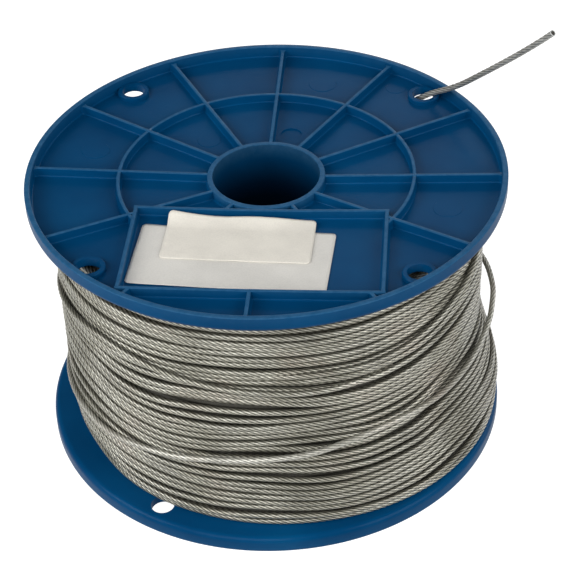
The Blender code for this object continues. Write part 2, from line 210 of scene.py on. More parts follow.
# Turns that cross the others: azimuth, height, and how far outside the winding they lie
CROSSING_TURNS = (
    ("slack", (
        (-196.0, 0.0330, -0.0037), (-182.0, 0.0345, -0.0016), (-168.0, 0.0358, 0.0001),
        (-158.0, 0.0370, 0.0006), (-145.0, 0.0382, 0.0009), (-134.0, 0.0393, 0.0013),
        (-123.0, 0.0427, 0.0014), (-110.0, 0.0460, 0.0014), (-99.8, 0.0493, 0.0014),
        (-87.6, 0.0516, 0.0013), (-76.4, 0.0532, 0.0012), (-65.3, 0.0566, 0.0012),
        (-54.2, 0.0583, 0.0012), (-45.0, 0.0580, 0.0012), (-37.0, 0.0576, 0.0013),
        (-26.0, 0.0578, 0.0014), (-16.7, 0.0580, 0.0018), (-10.0, 0.0584, 0.0026),
        (-4.0, 0.0594, 0.0042), (1.0, 0.0606, 0.0053), (6.0, 0.0618, 0.0066),
        (11.0, 0.0625, 0.0071), (17.0, 0.0625, 0.0076), (30.0, 0.0620, 0.0065),
        (45.0, 0.0610, 0.0040), (60.0, 0.0600, 0.0018), (80.0, 0.0585, 0.0008),
        (100.0, 0.0570, -0.0009), (118.0, 0.0560, -0.0035),
    )),
    ("right", (
        (-92.0, 0.0985, -0.0033), (-82.0, 0.0992, -0.0009), (-70.0, 0.0994, 0.0008),
        (-58.0, 0.0986, 0.0012), (-45.0, 0.1013, 0.0012), (-37.0, 0.1043, 0.0012),
        (-25.0, 0.1105, 0.0010), (-14.0, 0.1155, 0.0001), (-2.0, 0.1190, -0.0015),
        (10.0, 0.1205, -0.0037),
    )),
    ("right_below", (
        (-80.0, 0.0935, -0.0037), (-70.0, 0.0946, -0.0010), (-60.0, 0.0952, 0.0005),
        (-50.0, 0.0960, 0.0010), (-40.0, 0.0985, 0.0011), (-30.0, 0.1035, 0.0011),
        (-20.0, 0.1098, 0.0008), (-10.0, 0.1145, -0.0004), (2.0, 0.1175, -0.0037),
    )),
    ("left", (
        (-176.0, 0.0925, -0.0037), (-164.0, 0.0945, -0.0009), (-154.0, 0.0965, 0.0005),
        (-144.0, 0.0985, 0.0010), (-134.0, 0.1000, 0.0011), (-124.0, 0.0985, 0.0010),
        (-112.0, 0.0958, 0.0010), (-100.0, 0.0935, 0.0010), (-88.0, 0.0915, 0.0009),
        (-76.0, 0.0892, 0.0002), (-64.0, 0.0880, -0.0013), (-52.0, 0.0875, -0.0037),
    )),
)

# Free end of the rope: from the winding, through the anchor hole, to the cut end
TAIL_ROUTE = (
    (-0.0163, 0.1029, 0.1284), (-0.0018, 0.1042, 0.1284),
    (0.0127, 0.1034, 0.1284), (0.0270, 0.1006, 0.1284),
    (0.0407, 0.0959, 0.1284), (0.0521, 0.0902, 0.1284),
    (0.0624, 0.0835, 0.1285), (0.0664, 0.0804, 0.1294),
    (0.0697, 0.0778, 0.1317), (0.0742, 0.0742, 0.1362),
    (0.0788, 0.0707, 0.1406), (0.0859, 0.0651, 0.1463),
    (0.0932, 0.0595, 0.1530), (0.1016, 0.0529, 0.1622),
    (0.1107, 0.0457, 0.1725), (0.1196, 0.0388, 0.1828),
    (0.1282, 0.0321, 0.1933), (0.1337, 0.0278, 0.2004),
)
TAIL_STEP = 0.0010
TAIL_BACK = 0.1
TAIL_OUTWARD = (-0.35, -0.45, 0.82)

# Cut end: rings of radius, rise, and how far the strands stand out; the outer ones are clear
STEEL_RADIUS = 0.00105
CUT_RINGS = (
    (ROPE_RADIUS, -0.0003, 0.0),
    (0.97 * ROPE_RADIUS, 0.00006, 0.0),
    (1.08 * STEEL_RADIUS, 0.00008, 0.0),
    (STEEL_RADIUS, 0.0, 0.0),
    (0.62 * STEEL_RADIUS, 0.00012, 0.00012),
    (0.38 * STEEL_RADIUS, 0.00002, 0.00012),
    (0.15 * STEEL_RADIUS, 0.00010, 0.0),
)
CLEAR_RINGS = 3
CUT_SIDES = 24

# Paper labels: each one's distance from the pocket's left, right, near and far walls, its turn
LARGE_LABEL = (0.00275, 0.02395, 0.0108, 0.0060, math.radians(-3.0))
SMALL_LABEL = (0.0153, 0.0329, 0.0036, 0.0262, math.radians(-1.8))
PAPER = 0.00016
LARGE_LIFT = 0.0003
SMALL_LIFT = 0.0008
CORNER_ROUND = 0.0022
CURL = 0.0028
CURL_FROM = 0.72
CURL_BEND = 12.8
RIPPLE = 0.00010
LABEL_COLUMNS = 64
LABEL_ROWS = 32

# Floor and room: glow in plain light, gleam in reflections
FLOOR_REACH = 4.0
FLOOR_LEVEL = -0.0002
GLOW_FROM = 0.088
FLOOR_GLOW = 0.25
FLOOR_GLEAM = 0.60
ROOM_LIGHT = 0.10
ROOM_GLEAM = 0.12

# Lights: name, place, size, power
LIGHTS_AIM = Vector((0.0, 0.0, 0.07))
LIGHTS = (
    ("front", (-0.30, -1.35, 0.95), 1.1, 12.3),
    ("left", (-1.25, -0.55, 0.85), 0.9, 12.3),
    ("right", (1.10, -0.60, 0.80), 0.9, 9.2),
    ("back", (0.10, 1.40, 0.60), 0.7, 2.8),
    ("edge", (1.25, 0.70, 0.45), 0.6, 2.5),
)

# Camera
CAMERA_PLACE = Vector((0.07642, -0.71318, 0.62811))
CAMERA_TARGET = Vector((0.00896, 0.00085, 0.06761))
CAMERA_ROLL = math.radians(-2.265)
CAMERA_LENS = 112.80
SENSOR = 36.0


def add_object(name, data, *materials):
    """An object in the scene. A mesh takes the materials given."""
    for material in materials:
        data.materials.append(material)
    item = bpy.data.objects.new(name, data)
    bpy.context.scene.collection.objects.link(item)
    return item


def mesh_of(name, shape):
    """A mesh made from a bmesh, which is freed."""
    mesh = bpy.data.meshes.new(name)
    shape.to_mesh(mesh)
    shape.free()
    return mesh


def polar(radius, angle):
    return radius * math.cos(angle), radius * math.sin(angle)


def bands(rings, around, closed=False):
    """Faces between rings of points, which are numbered one ring after another."""
    faces = []
    for ring in range(rings if closed else rings - 1):
        here, there = ring * around, (ring + 1) % rings * around
        for side in range(around):
            beside = (side + 1) % around
            faces.append((here + side, there + side, there + beside, here + beside))
    return faces


def make_camera():
    """The photo's view: a long lens, a little above the spool, turned slightly about its axis."""
    camera = add_object("camera", bpy.data.cameras.new("camera"))
    ahead = (CAMERA_TARGET - CAMERA_PLACE).normalized()
    right = ahead.cross(Vector((0.0, 0.0, 1.0))).normalized()
    up = right.cross(ahead)
    across = math.cos(CAMERA_ROLL) * right + math.sin(CAMERA_ROLL) * up
    above = math.cos(CAMERA_ROLL) * up - math.sin(CAMERA_ROLL) * right
    turn = Matrix((across, above, -ahead)).transposed()
    camera.matrix_world = Matrix.Translation(CAMERA_PLACE) @ turn.to_4x4()
    camera.data.sensor_width = SENSOR
    camera.data.lens = CAMERA_LENS
    camera.data.clip_start = 0.01
    camera.data.clip_end = 20.0
    bpy.context.scene.camera = camera


# Materials

class Nodes:
    """Short calls for building a node tree."""

    def __init__(self, tree):
        self.nodes, self.links = tree.nodes, tree.links

    def add(self, kind, **values):
        """A node with its properties and the values of its sockets set."""
        node = self.nodes.new(kind)
        for key, value in values.items():
            if key in node.inputs:
                node.inputs[key].default_value = value
            else:
                setattr(node, key, value)
        return node

    def feed(self, socket, value):
        """Link a socket to another one, or set it to a number or a colour."""
        if isinstance(value, bpy.types.NodeSocket):
            self.links.new(value, socket)
        elif isinstance(value, tuple):
            socket.default_value = (*value, 1.0)
        else:
            socket.default_value = value

    def compute(self, operation, *values):
        """A Math node fed by sockets or plain numbers."""
        node = self.add("ShaderNodeMath", operation=operation)
        for socket, value in zip(node.inputs, values):
            self.feed(socket, value)
        return node.outputs[0]

    def wave(self, source, count):
        """A cosine that turns a number of times over each unit of its source."""
        return self.compute("COSINE", self.compute("MULTIPLY", source, 2.0 * math.pi * count))

    def ramp(self, source, *stops):
        """A colour ramp fed by a socket; each stop is a place and a colour."""
        node = self.add("ShaderNodeValToRGB")
        self.links.new(source, node.inputs["Fac"])
        elements = node.color_ramp.elements
        while len(elements) < len(stops):
            elements.new(0.5)
        for element, (place, colour) in zip(elements, stops):
            element.position = place
            element.color = (*colour, 1.0)
        return node.outputs["Color"]

    def mix(self, kind, share, first, second):
        """A colour mix of two sockets or colours."""
        node = self.add("ShaderNodeMix", data_type="RGBA", blend_type=kind)
        for index, value in ((0, share), (6, first), (7, second)):
            self.feed(node.inputs[index], value)
        return node.outputs[2]

    def noise(self, source, scale, detail=2.0, roughness=0.5):
        node = self.add("ShaderNodeTexNoise", Scale=scale, Detail=detail, Roughness=roughness)
        self.links.new(source, node.inputs["Vector"])
        return node.outputs["Fac"]


class Finish(Nodes):
    """A material being built: its nodes, its shader, and the place on the object."""

    def __init__(self, name):
        self.material = bpy.data.materials.new(name)
        self.material.use_nodes = True
        super().__init__(self.material.node_tree)
        self.shader = self.nodes["Principled BSDF"]
        self.place = self.add("ShaderNodeTexCoord").outputs["Object"]

    def set(self, values):
        """Feed the shader's sockets by name."""
        for name, value in values.items():
            self.feed(self.shader.inputs[name], value)

    def wander(self, low, high, *noise):
        """A grey that wanders between two values over the surface."""
        return self.ramp(self.noise(self.place, *noise), (0.3, (low,) * 3), (0.7, (high,) * 3))

    def bump(self, height, strength, distance):
        node = self.add("ShaderNodeBump", Strength=strength, Distance=distance)
        self.links.new(height, node.inputs["Height"])
        return node.outputs[0]


def rope_material(name, groove_shade, *shade_to_highlight_tones):
    """Steel strands under clear plastic: U runs along the rope in lays, V round its strands.

    U + V is the place round the rope counted from its outward side. The groove shade is how
    dark the rope's sides that lie against its neighbours are painted: painted shade. The tones
    run from between the strands up to their crowns: painted shade and painted highlight.
    """
    finish = Finish(name)
    uv = finish.add("ShaderNodeUVMap", uv_map="rope")
    parts = finish.add("ShaderNodeSeparateXYZ")
    finish.links.new(uv.outputs[0], parts.inputs[0])
    along, round_it = parts.outputs[0], parts.outputs[1]
    from_outward = finish.compute("ADD", along, round_it)
    strands = finish.wave(round_it, STRANDS)
    wires = finish.compute("MULTIPLY", finish.wave(from_outward, WIRES), WIRE_SHARE)
    relief = finish.compute("ADD", strands, wires)
    height = finish.compute("MULTIPLY_ADD", relief, 0.42, 0.5)
    stretch = finish.add("ShaderNodeCombineXYZ")
    finish.links.new(along, stretch.inputs[0])

    # Painted shade between the strands and a painted highlight on their crowns.
    colour = finish.ramp(height, *zip((0.0, 0.34, 0.66, 1.0), shade_to_highlight_tones))
    patches = finish.ramp(finish.noise(finish.place, 42.0, 3.0),
                          (0.30, (0.74, 0.74, 0.70)), (0.52, (1.0, 1.0, 0.95)),
                          (0.75, (1.0, 0.93, 0.88)))
    stretches = finish.ramp(finish.noise(stretch.outputs[0], 0.16),
                            (0.34, (0.66, 0.65, 0.61)), (0.50, (0.88, 0.875, 0.84)),
                            (0.64, (1.0, 1.0, 0.985)))
    # Painted shade on the sides of each turn that lie against its neighbours.
    sides = finish.ramp(finish.wave(from_outward, 1),
                        (0.30, (0.12, 0.115, 0.10)), (0.60, (0.62, 0.61, 0.58)),
                        (0.84, (1.0, 1.0, 1.0)))
    specks = finish.ramp(finish.noise(finish.place, 420.0, 2.0, 0.7),
                         (0.36, (0.60, 0.58, 0.54)), (0.58, (1.0, 1.0, 1.0)))
    for share, tint in ((0.85, patches), (1.0, stretches), (groove_shade, sides), (0.6, specks)):
        colour = finish.mix("MULTIPLY", share, colour, tint)
    finish.set({
        "Base Color": colour,
        "Roughness": finish.wander(0.28, 0.46, 160.0),
        "Normal": finish.bump(height, 0.45, 0.00022),
        "Metallic": 0.42,
        "Coat Weight": 0.9,
        "Coat Roughness": 0.12,
        "Coat IOR": 1.5,
    })
    return finish.material


def plastic_material():
    """Blue moulded plastic with flow marks, scuffed edges with a painted highlight, and painted
    shade in the bore.
    """
    finish = Finish("blue_moulded_plastic")
    flow = finish.ramp(finish.noise(finish.place, 17.0, 3.0, 0.6),
                       (0.30, (0.0002, 0.047, 0.139)), (0.55, (0.0006, 0.061, 0.172)),
                       (0.75, (0.0016, 0.074, 0.195)))
    # Lighter blue for rib tops and the rim's top edge: partly scuffs, partly a painted highlight.
    scuff_highlight_colour = finish.ramp(finish.noise(finish.place, 260.0, 3.0, 0.65),
                        (0.25, (0.016, 0.095, 0.215)), (0.75, (0.045, 0.150, 0.290)))
    scuff_and_highlight = finish.add("ShaderNodeAttribute", attribute_name="scuff_and_highlight").outputs["Fac"]
    painted_bore_shade = finish.add("ShaderNodeAttribute", attribute_name="painted_bore_shade").outputs["Fac"]
    with_scuffs_and_highlights = finish.mix("MIX", finish.compute("MULTIPLY", scuff_and_highlight, 0.75), flow, scuff_highlight_colour)
    finish.set({
        # The bore is mixed towards near-black: painted shade, darkest further down.
        "Base Color": finish.mix("MIX", painted_bore_shade, with_scuffs_and_highlights, (0.0006, 0.004, 0.011)),
        "Roughness": finish.wander(0.30, 0.42, 60.0, 4.0, 0.6),
        "Normal": finish.bump(finish.noise(finish.place, 900.0), 0.16, 0.0002),
        "Specular IOR Level": 0.04,
        "Specular Tint": (0.02, 0.45, 1.0),
        "Coat Weight": 0.28,
        "Coat Roughness": 0.24,
        "Coat IOR": 1.28,
    })
    return finish.material


def paper_material(name, tone):
    """Thin label paper with soft fibres and faint smudges."""
    finish = Finish(name)
    darker = tuple(0.90 * part for part in tone)
    cloud = finish.ramp(finish.noise(finish.place, 55.0, 4.0, 0.6), (0.3, darker), (0.65, tone))
    fibre = finish.ramp(finish.noise(finish.place, 1500.0),
                        (0.35, (0.93, 0.93, 0.93)), (0.6, (1.0, 1.0, 1.0)))
    finish.set({
        "Base Color": finish.mix("MULTIPLY", 0.8, cloud, fibre),
        "Normal": finish.bump(finish.noise(finish.place, 700.0, 3.0), 0.12, 0.0001),
        "Roughness": 0.62,
        "Specular IOR Level": 0.35,
    })
    return finish.material


def plain_material(name, colour, roughness, metallic=0.0):
    """A small dark or pale surface with fine speckle."""
    finish = Finish(name)
    lighter = tuple(min(1.0, 1.5 * part) for part in colour)
    finish.set({
        "Base Color": finish.ramp(finish.noise(finish.place, 1800.0),
                                  (0.4, colour), (0.62, lighter)),
        "Roughness": roughness,
        "Metallic": metallic,
    })
    return finish.material


# Rope

def mesh_from_arrays(name, vertices, faces, uvs=None):
    """A smooth mesh of four-cornered faces, with a place in the rope pattern for each corner."""
    mesh = bpy.data.meshes.new(name)
    mesh.vertices.add(len(vertices))
    mesh.vertices.foreach_set("co", np.asarray(vertices, np.float32).ravel())
    mesh.loops.add(faces.size)
    mesh.loops.foreach_set("vertex_index", faces.astype(np.int32).ravel())
    mesh.polygons.add(len(faces))
    mesh.polygons.foreach_set("loop_start", np.arange(0, faces.size, 4, dtype=np.int32))
    mesh.update(calc_edges=True)
    if uvs is not None:
        layer = mesh.uv_layers.new(name="rope")
        layer.data.foreach_set("uv", uvs.astype(np.float32).ravel())
    mesh.polygons.foreach_set("use_smooth", np.ones(len(faces), bool))
    return mesh


def lengths_along(points):
    """Length along a line at each of its points."""
    steps = np.linalg.norm(np.diff(points, axis=0), axis=1)
    return np.concatenate(([0.0], np.cumsum(steps)))


def evenly_along(points, count):
    """A number of points at an even spacing along a line."""
    length = lengths_along(points)
    even = np.linspace(0.0, length[-1], count)
    return np.stack([np.interp(even, length, points[:, axis]) for axis in range(3)], -1)


def make_rope(name, points, outward, sides, twisted, material):
    """A rope along a line of points. A twisted one has its corners on the strands."""
    ahead = np.gradient(points, axis=0)
    ahead /= np.linalg.norm(ahead, axis=1)[:, None]
    first = outward - (outward * ahead).sum(1)[:, None] * ahead
    first /= np.linalg.norm(first, axis=1)[:, None]
    second = np.cross(ahead, first)
    turns = lengths_along(points) / LAY
    corner = np.arange(sides) / sides
    angle = 2.0 * math.pi * (corner[None, :] + (turns[:, None] if twisted else 0.0))
    groove = STRAND_RELIEF * (np.arange(sides) % 2) if twisted else np.zeros(sides)
    radius = np.broadcast_to(ROPE_RADIUS - groove, angle.shape)
    vertices = points[:, None, :] + radius[..., None] * (
        np.cos(angle)[..., None] * first[:, None, :]
        + np.sin(angle)[..., None] * second[:, None, :])
    rings = len(points)
    ring, side = np.meshgrid(np.arange(rings - 1), np.arange(sides), indexing="ij")
    after = (side + 1) % sides
    faces = np.stack([ring * sides + side, ring * sides + after,
                      (ring + 1) * sides + after, (ring + 1) * sides + side], -1)
    place = np.stack([np.broadcast_to(turns[:, None], (rings, sides + 1)),
                      np.broadcast_to(np.arange(sides + 1) / sides, (rings, sides + 1))], -1)
    if not twisted:
        place = place - np.stack([np.zeros(rings), turns], -1)[:, None, :]
    uvs = np.stack([place[ring, side], place[ring, side + 1],
                    place[ring + 1, side + 1], place[ring + 1, side]], -2)
    mesh = mesh_from_arrays(name, vertices.reshape(-1, 3), faces.reshape(-1, 4),
                            uvs.reshape(-1, 2))
    return add_object(name, mesh, material)


def smooth_steps(value):
    value = np.clip(value, 0.0, 1.0)
    return value * value * (3.0 - 2.0 * value)


def away_from(azimuth, centre):
    """Degrees from a centre azimuth, between -180 and 180."""
    return (azimuth - centre + 180.0) % 360.0 - 180.0


def row_radius(azimuth, height):
    """Radius of the outer layer's centre line, with the bulge and the tight place."""
    reach = np.minimum(np.abs(away_from(azimuth, 0.0)), BULGE_SPREAD)
    side = np.cos(0.5 * math.pi * reach / BULGE_SPREAD) ** 2
    share = smooth_steps((BULGE_HIGH - height) / (BULGE_HIGH - BULGE_LOW)) ** BULGE_FALL
    near = np.exp(-(away_from(azimuth, TIGHT_AT) / TIGHT_SPREAD) ** 2)
    low = smooth_steps((TIGHT_HIGH - height) / (TIGHT_HIGH - TIGHT_LOW))
    return ROW_RADIUS + BULGE * side * share - TIGHT * near * low


def waves(chance, azimuth, count, fall):
    """Smooth random waves round the winding, one row of them for each turn or gap."""
    total = np.zeros((count, len(azimuth)))
    for wave in range(1, WAVES + 1):
        size = chance.normal(size=(count, 1)) / wave ** fall
        phase = 360.0 * chance.random((count, 1))
        total += size * np.sin(np.radians(wave * azimuth[None, :] + phase))
    return total


def row_heights(chance, azimuth):
    """Height of each row at each whole degree of azimuth, kept nearly a rope apart."""
    back = smooth_steps((np.abs(away_from(azimuth, FRONT)) - BACK_FROM) / BACK_EASE)
    top = HIGH_ROW + (END_ROW - HIGH_ROW) * back
    free = top - LOW_ROW - NEAREST * (ROWS - 1)
    open_here = np.clip(0.3 + 0.75 * chance.normal(size=(ROWS - 1, 1))
                        + 0.75 * waves(chance, azimuth, ROWS - 1, 0.6), 0.05, None)
    open_here *= free[None, :] / open_here.sum(0)[None, :]
    rises = np.vstack([np.zeros(len(azimuth)), np.cumsum(NEAREST + open_here, axis=0)])
    heights = LOW_ROW + rises
    for height, tall, centre, wide, rise in SWAYS:
        near = np.exp(-(away_from(azimuth, centre) / wide) ** 2)[None, :]
        heights = heights + rise * near * np.exp(-((heights - height) / tall) ** 2)
    for height, centre, reach, opening in WIDE_GAPS:
        here = int(round((centre + 180.0) % 360.0)) % 360
        between = 0.5 * (heights[1:, here] + heights[:-1, here])
        below = int(np.argmin(np.abs(between - height)))
        steps = np.arange(ROWS) - below - 0.5
        push = 0.5 * opening * np.sign(steps) * np.exp(-(np.abs(steps) - 0.5) / GAP_FADE)
        window = smooth_steps(1.0 - np.abs(away_from(azimuth, centre)) / reach)
        heights = heights + push[:, None] * window[None, :]
    for _ in range(SPREAD_PASSES):
        short = NEAREST - np.diff(heights, axis=0)
        shift = 0.5 * np.clip(short, 0.0, None)
        heights[:-1] -= shift
        heights[1:] += shift
        heights = np.clip(heights, LOW_ROW, top[None, :])
    return heights


def row_depths(chance, azimuth):
    """How deep each row is pressed in at each whole degree of azimuth."""
    return SUNK * np.clip(0.35 + 0.45 * waves(chance, azimuth, ROWS, 0.7), 0.0, 1.3)


def table_at(table, row, azimuth):
    """Values of a table of rows by whole degrees, at any azimuth."""
    grid = away_from(azimuth, -180.0) % 360.0
    low = np.floor(grid).astype(int) % 360
    share = grid - np.floor(grid)
    return (1.0 - share) * table[row, low] + share * table[row, (low + 1) % 360]


def helix_points(heights, depths, first_turn, last_turn, step, lift):
    """Centre line of the rope over a span of turns. It winds clockwise as it rises."""
    per_turn = int(round(2.0 * math.pi * ROW_RADIUS / step))
    count = int(round((last_turn - first_turn) * per_turn)) + 1
    turn = np.linspace(first_turn, last_turn, count)
    whole = np.minimum(np.floor(turn + 1e-9), ROWS - 1).astype(int)
    part = turn - whole
    azimuth = END_AZIMUTH - 360.0 * part
    climb = smooth_steps((CLIMB_FROM - azimuth) / (CLIMB_FROM - CLIMB_TO))
    both = []
    for rows in (heights, depths):
        table = np.vstack([rows[:1], rows])
        below = table_at(table, whole, azimuth)
        both.append(below + climb * (table_at(table, whole + 1, azimuth) - below))
    height, depth = both
    radius = row_radius(azimuth, height) - depth + lift(turn)
    angle = np.radians(azimuth)
    points = np.stack([radius * np.cos(angle), radius * np.sin(angle), height], -1)
    outward = np.stack([np.cos(angle), np.sin(angle), 0.0 * angle], -1)
    return points, outward


def top_lift(turn):
    """The outer layer starts from below it and ends where the free end begins."""
    start = 1.0 - smooth_steps((turn - FIRST_TURN) / START_EASE)
    end = smooth_steps((turn - (ROWS - END_EASE)) / END_EASE)
    return -UNDER_DEPTH * start + (END_RADIUS - ROW_RADIUS) * end


def make_turns(heights, depths, material):
    """The outer layer of turns, in three pieces."""
    spans = np.linspace(FIRST_TURN, ROWS, 4)
    pieces = []
    for name, low, high in zip(("lower", "middle", "upper"), spans, spans[1:]):
        points, outward = helix_points(heights, depths, low, high, RING_STEP, top_lift)
        pieces.append(make_rope("rope_turns_" + name, points, outward, ROPE_SIDES, True,
                                material))
    return pieces


def make_under_turns(heights, material):
    """The layer below, whose turns lie in the valleys between the outer ones."""
    middle = 0.5 * (heights[1:] + heights[:-1])
    gap = heights[1:] - heights[:-1]
    depth = UNDER_DEPTH + 0.5 * np.clip(gap - OPEN_GAP, 0.0, MOST_DEEPER)
    middle = np.vstack([middle, heights[-1:]])
    depth = np.vstack([depth, depth[-1:]])
    points, outward = helix_points(middle, depth, 0.5, ROWS - 1.0, 2.0 * RING_STEP,
                                   lambda turn: 0.0)
    return make_rope("rope_turns_below", points, outward, UNDER_SIDES, False, material)


def make_crossing(name, route, material):
    """A turn that crosses the others, on a smooth curve through its route."""
    route = np.array(route)
    knots = np.concatenate(([0.0], np.cumsum(np.abs(np.diff(route[:, 0])))))
    dense = np.linspace(0.0, knots[-1], 12 * len(route))
    slopes = np.gradient(route, knots, axis=0)
    index = np.clip(np.searchsorted(knots, dense, side="right") - 1, 0, len(route) - 2)
    span = (knots[index + 1] - knots[index])[:, None]
    share = (dense - knots[index])[:, None] / span
    line = (route[index] * (1.0 + 2.0 * share) * (1.0 - share) ** 2
            + slopes[index] * span * share * (1.0 - share) ** 2
            + route[index + 1] * share ** 2 * (3.0 - 2.0 * share)
            + slopes[index + 1] * span * share ** 2 * (share - 1.0))
    angle = np.radians(line[:, 0])
    radius = row_radius(line[:, 0], line[:, 1]) + ROPE_RADIUS + line[:, 2]
    points = np.stack([radius * np.cos(angle), radius * np.sin(angle), line[:, 1]], -1)
    points = evenly_along(points, int(lengths_along(points)[-1] / RING_STEP) + 1)
    outward = points * np.array([1.0, 1.0, 0.0])
    outward = outward / np.linalg.norm(outward, axis=1)[:, None]
    return make_rope(name, points, outward, ROPE_SIDES, True, material)


def tail_line():
    """The free end's centre line at an even spacing, and its length."""
    points = [Vector(point) for point in TAIL_ROUTE]
    last = len(points) - 1
    tangents = []
    for index in range(last + 1):
        ahead = points[min(index + 1, last)]
        behind = points[max(index - 1, 0)]
        tangents.append((ahead - behind) / (2.0 if 0 < index < last else 1.0))
    dense = [points[0]]
    for index in range(last):
        start, end = points[index], points[index + 1]
        curve = interpolate_bezier(start, start + tangents[index] / 3.0,
                                   end - tangents[index + 1] / 3.0, end, 24)
        dense += curve[1:]
    dense = np.array(dense)
    length = float(lengths_along(dense)[-1])
    return evenly_along(dense, int(round(length / TAIL_STEP)) + 1), length


def make_cut_face(tip, ahead, clear, steel):
    """The rope's cut end: a ring of clear plastic round the ends of the strands."""
    turn = ahead.to_track_quat("Z", "Y").to_matrix()
    vertices = []
    for radius, rise, lobe in CUT_RINGS:
        for side in range(CUT_SIDES):
            angle = 2.0 * math.pi * side / CUT_SIDES
            lift = rise + lobe * math.cos(STRANDS * angle)
            vertices.append(tip + turn @ Vector((*polar(radius, angle), lift)))
    faces = bands(len(CUT_RINGS), CUT_SIDES)
    middle = tuple(range(len(faces), len(vertices)))
    mesh = mesh_from("rope_cut_face", vertices, faces + [middle])
    for face in mesh.polygons:
        face.material_index = int(face.index >= CLEAR_RINGS * CUT_SIDES)
        face.use_smooth = face.index < len(faces)
    return add_object("rope_cut_face", mesh, clear, steel)


def make_core(material):
    """The turns deeper in the winding, as one grooved ring that bulges as they do."""
    low, high = LOW_ROW - ROPE_RADIUS, HIGH_ROW + ROPE_RADIUS
    steps = CORE_STEPS * ROWS
    wave = CORE_WAVE * np.cos(2.0 * math.pi * np.arange(steps + 1) / CORE_STEPS)
    level = low + (high - low) * np.arange(steps + 1) / steps
    level = np.concatenate(([low], level, [high]))
    azimuth = 360.0 * np.arange(CORE_SIDES) / CORE_SIDES
    radius = row_radius(azimuth[:, None], level[None, :]) - CORE_DEPTH
    radius[:, 1:-1] += wave[None, :]
    radius[:, 0] = radius[:, -1] = BARREL_RADIUS + CORE_CLEARANCE
    angle = np.radians(azimuth)[:, None]
    points = np.stack([radius * np.cos(angle), radius * np.sin(angle),
                       np.broadcast_to(level, radius.shape)], -1)
    count = len(level)
    side, step = np.meshgrid(np.arange(CORE_SIDES), np.arange(count), indexing="ij")
    after, above = (side + 1) % CORE_SIDES, (step + 1) % count
    faces = np.stack([side * count + step, after * count + step,
                      after * count + above, side * count + above], -1)
    mesh = mesh_from_arrays("rope_core", points.reshape(-1, 3), faces.reshape(-1, 4))
    return add_object("rope_core", mesh, material)


# Spool

def mesh_from(name, vertices, faces):
    """A closed mesh with its faces turned outwards."""
    shape = bmesh.new()
    corners = [shape.verts.new(point) for point in vertices]
    for face in faces:
        shape.faces.new([corners[index] for index in face])
    bmesh.ops.recalc_face_normals(shape, faces=shape.faces)
    return mesh_of(name, shape)


def turned(name, profile, sides):
    """A ring turned about Z from a closed profile of (radius, height) points."""
    vertices = []
    for side in range(sides):
        angle = 2.0 * math.pi * side / sides
        vertices += [(*polar(radius, angle), height) for radius, height in profile]
    return mesh_from(name, vertices, bands(sides, len(profile), closed=True))


def sink(radius):
    """How far the dished flange lies below its edge at a radius."""
    return DISH * (RIM_INNER - radius) / (RIM_INNER - HUB_RADIUS)


def plate_top(radius):
    return PLATE - FLANGE_DEPTH - sink(radius)


def plate_bottom(radius):
    return plate_top(radius) - PLATE


def half_profile():
    """Section of one spool half. Its rounded edges and fillets are arcs, in degrees."""
    hub_top = plate_top(HUB_RADIUS) + RIB_HEIGHT + HUB_STAND
    hub_edge = hub_top - HUB_ROUND
    foot, heel = HUB_RADIUS + FILLET, RIM_INNER - FILLET
    inside = BARREL_RADIUS - BARREL_WALL
    profile = []
    for x, y, radius, start, end, steps in (
            (BORE_RADIUS + HUB_ROUND, hub_edge, HUB_ROUND, 180, 90, 3),
            (HUB_RADIUS - HUB_ROUND, hub_edge, HUB_ROUND, 90, 0, 3),
            (foot, plate_top(foot) + FILLET, FILLET, 180, 268, 4),
            (heel, plate_top(heel) + FILLET, FILLET, 272, 360, 4),
            (RIM_INNER + RIM_ROUND, -RIM_ROUND, RIM_ROUND, 180, 90, 3),
            (FLANGE_RADIUS - RIM_ROUND, -RIM_ROUND, RIM_ROUND, 90, 0, 3),
            (FLANGE_RADIUS - EDGE_ROUND, EDGE_ROUND - FLANGE_DEPTH, EDGE_ROUND, 0, -90, 7)):
        for step in range(steps + 1):
            across, up = polar(radius, math.radians(start + (end - start) * step / steps))
            profile.append((x + across, y + up))
    profile += [
        (BARREL_RADIUS, plate_bottom(BARREL_RADIUS)),
        (BARREL_RADIUS, -HALF_HEIGHT),
        (inside, -HALF_HEIGHT),
        (inside, plate_bottom(inside)),
        (HUB_RADIUS, plate_bottom(HUB_RADIUS)),
        (HUB_RADIUS, -HALF_HEIGHT),
        (BORE_RADIUS, -HALF_HEIGHT),
    ]
    # Extra rings down the bore carry the gradient of the painted shade.
    return profile + [(BORE_RADIUS, BORE_TOP - depth) for depth in BORE_SHADE_RINGS]


def rib_section():
    """Right side of a rib's section from its root to its top: distance and height."""
    half = 0.5 * RIB_WIDTH
    return (
        (half + FILLET, -0.5 * PLATE),
        (half + FILLET, -RIB_SUNK),
        (half + 0.45 * FILLET, 0.13 * FILLET),
        (half + 0.13 * FILLET, 0.45 * FILLET),
        (half, FILLET),
        (half - RIB_DRAFT, RIB_HEIGHT - RIB_ROUND),
        (half - RIB_DRAFT - 0.30 * RIB_ROUND, RIB_HEIGHT - 0.30 * RIB_ROUND),
        (half - RIB_DRAFT - RIB_ROUND, RIB_HEIGHT),
    )


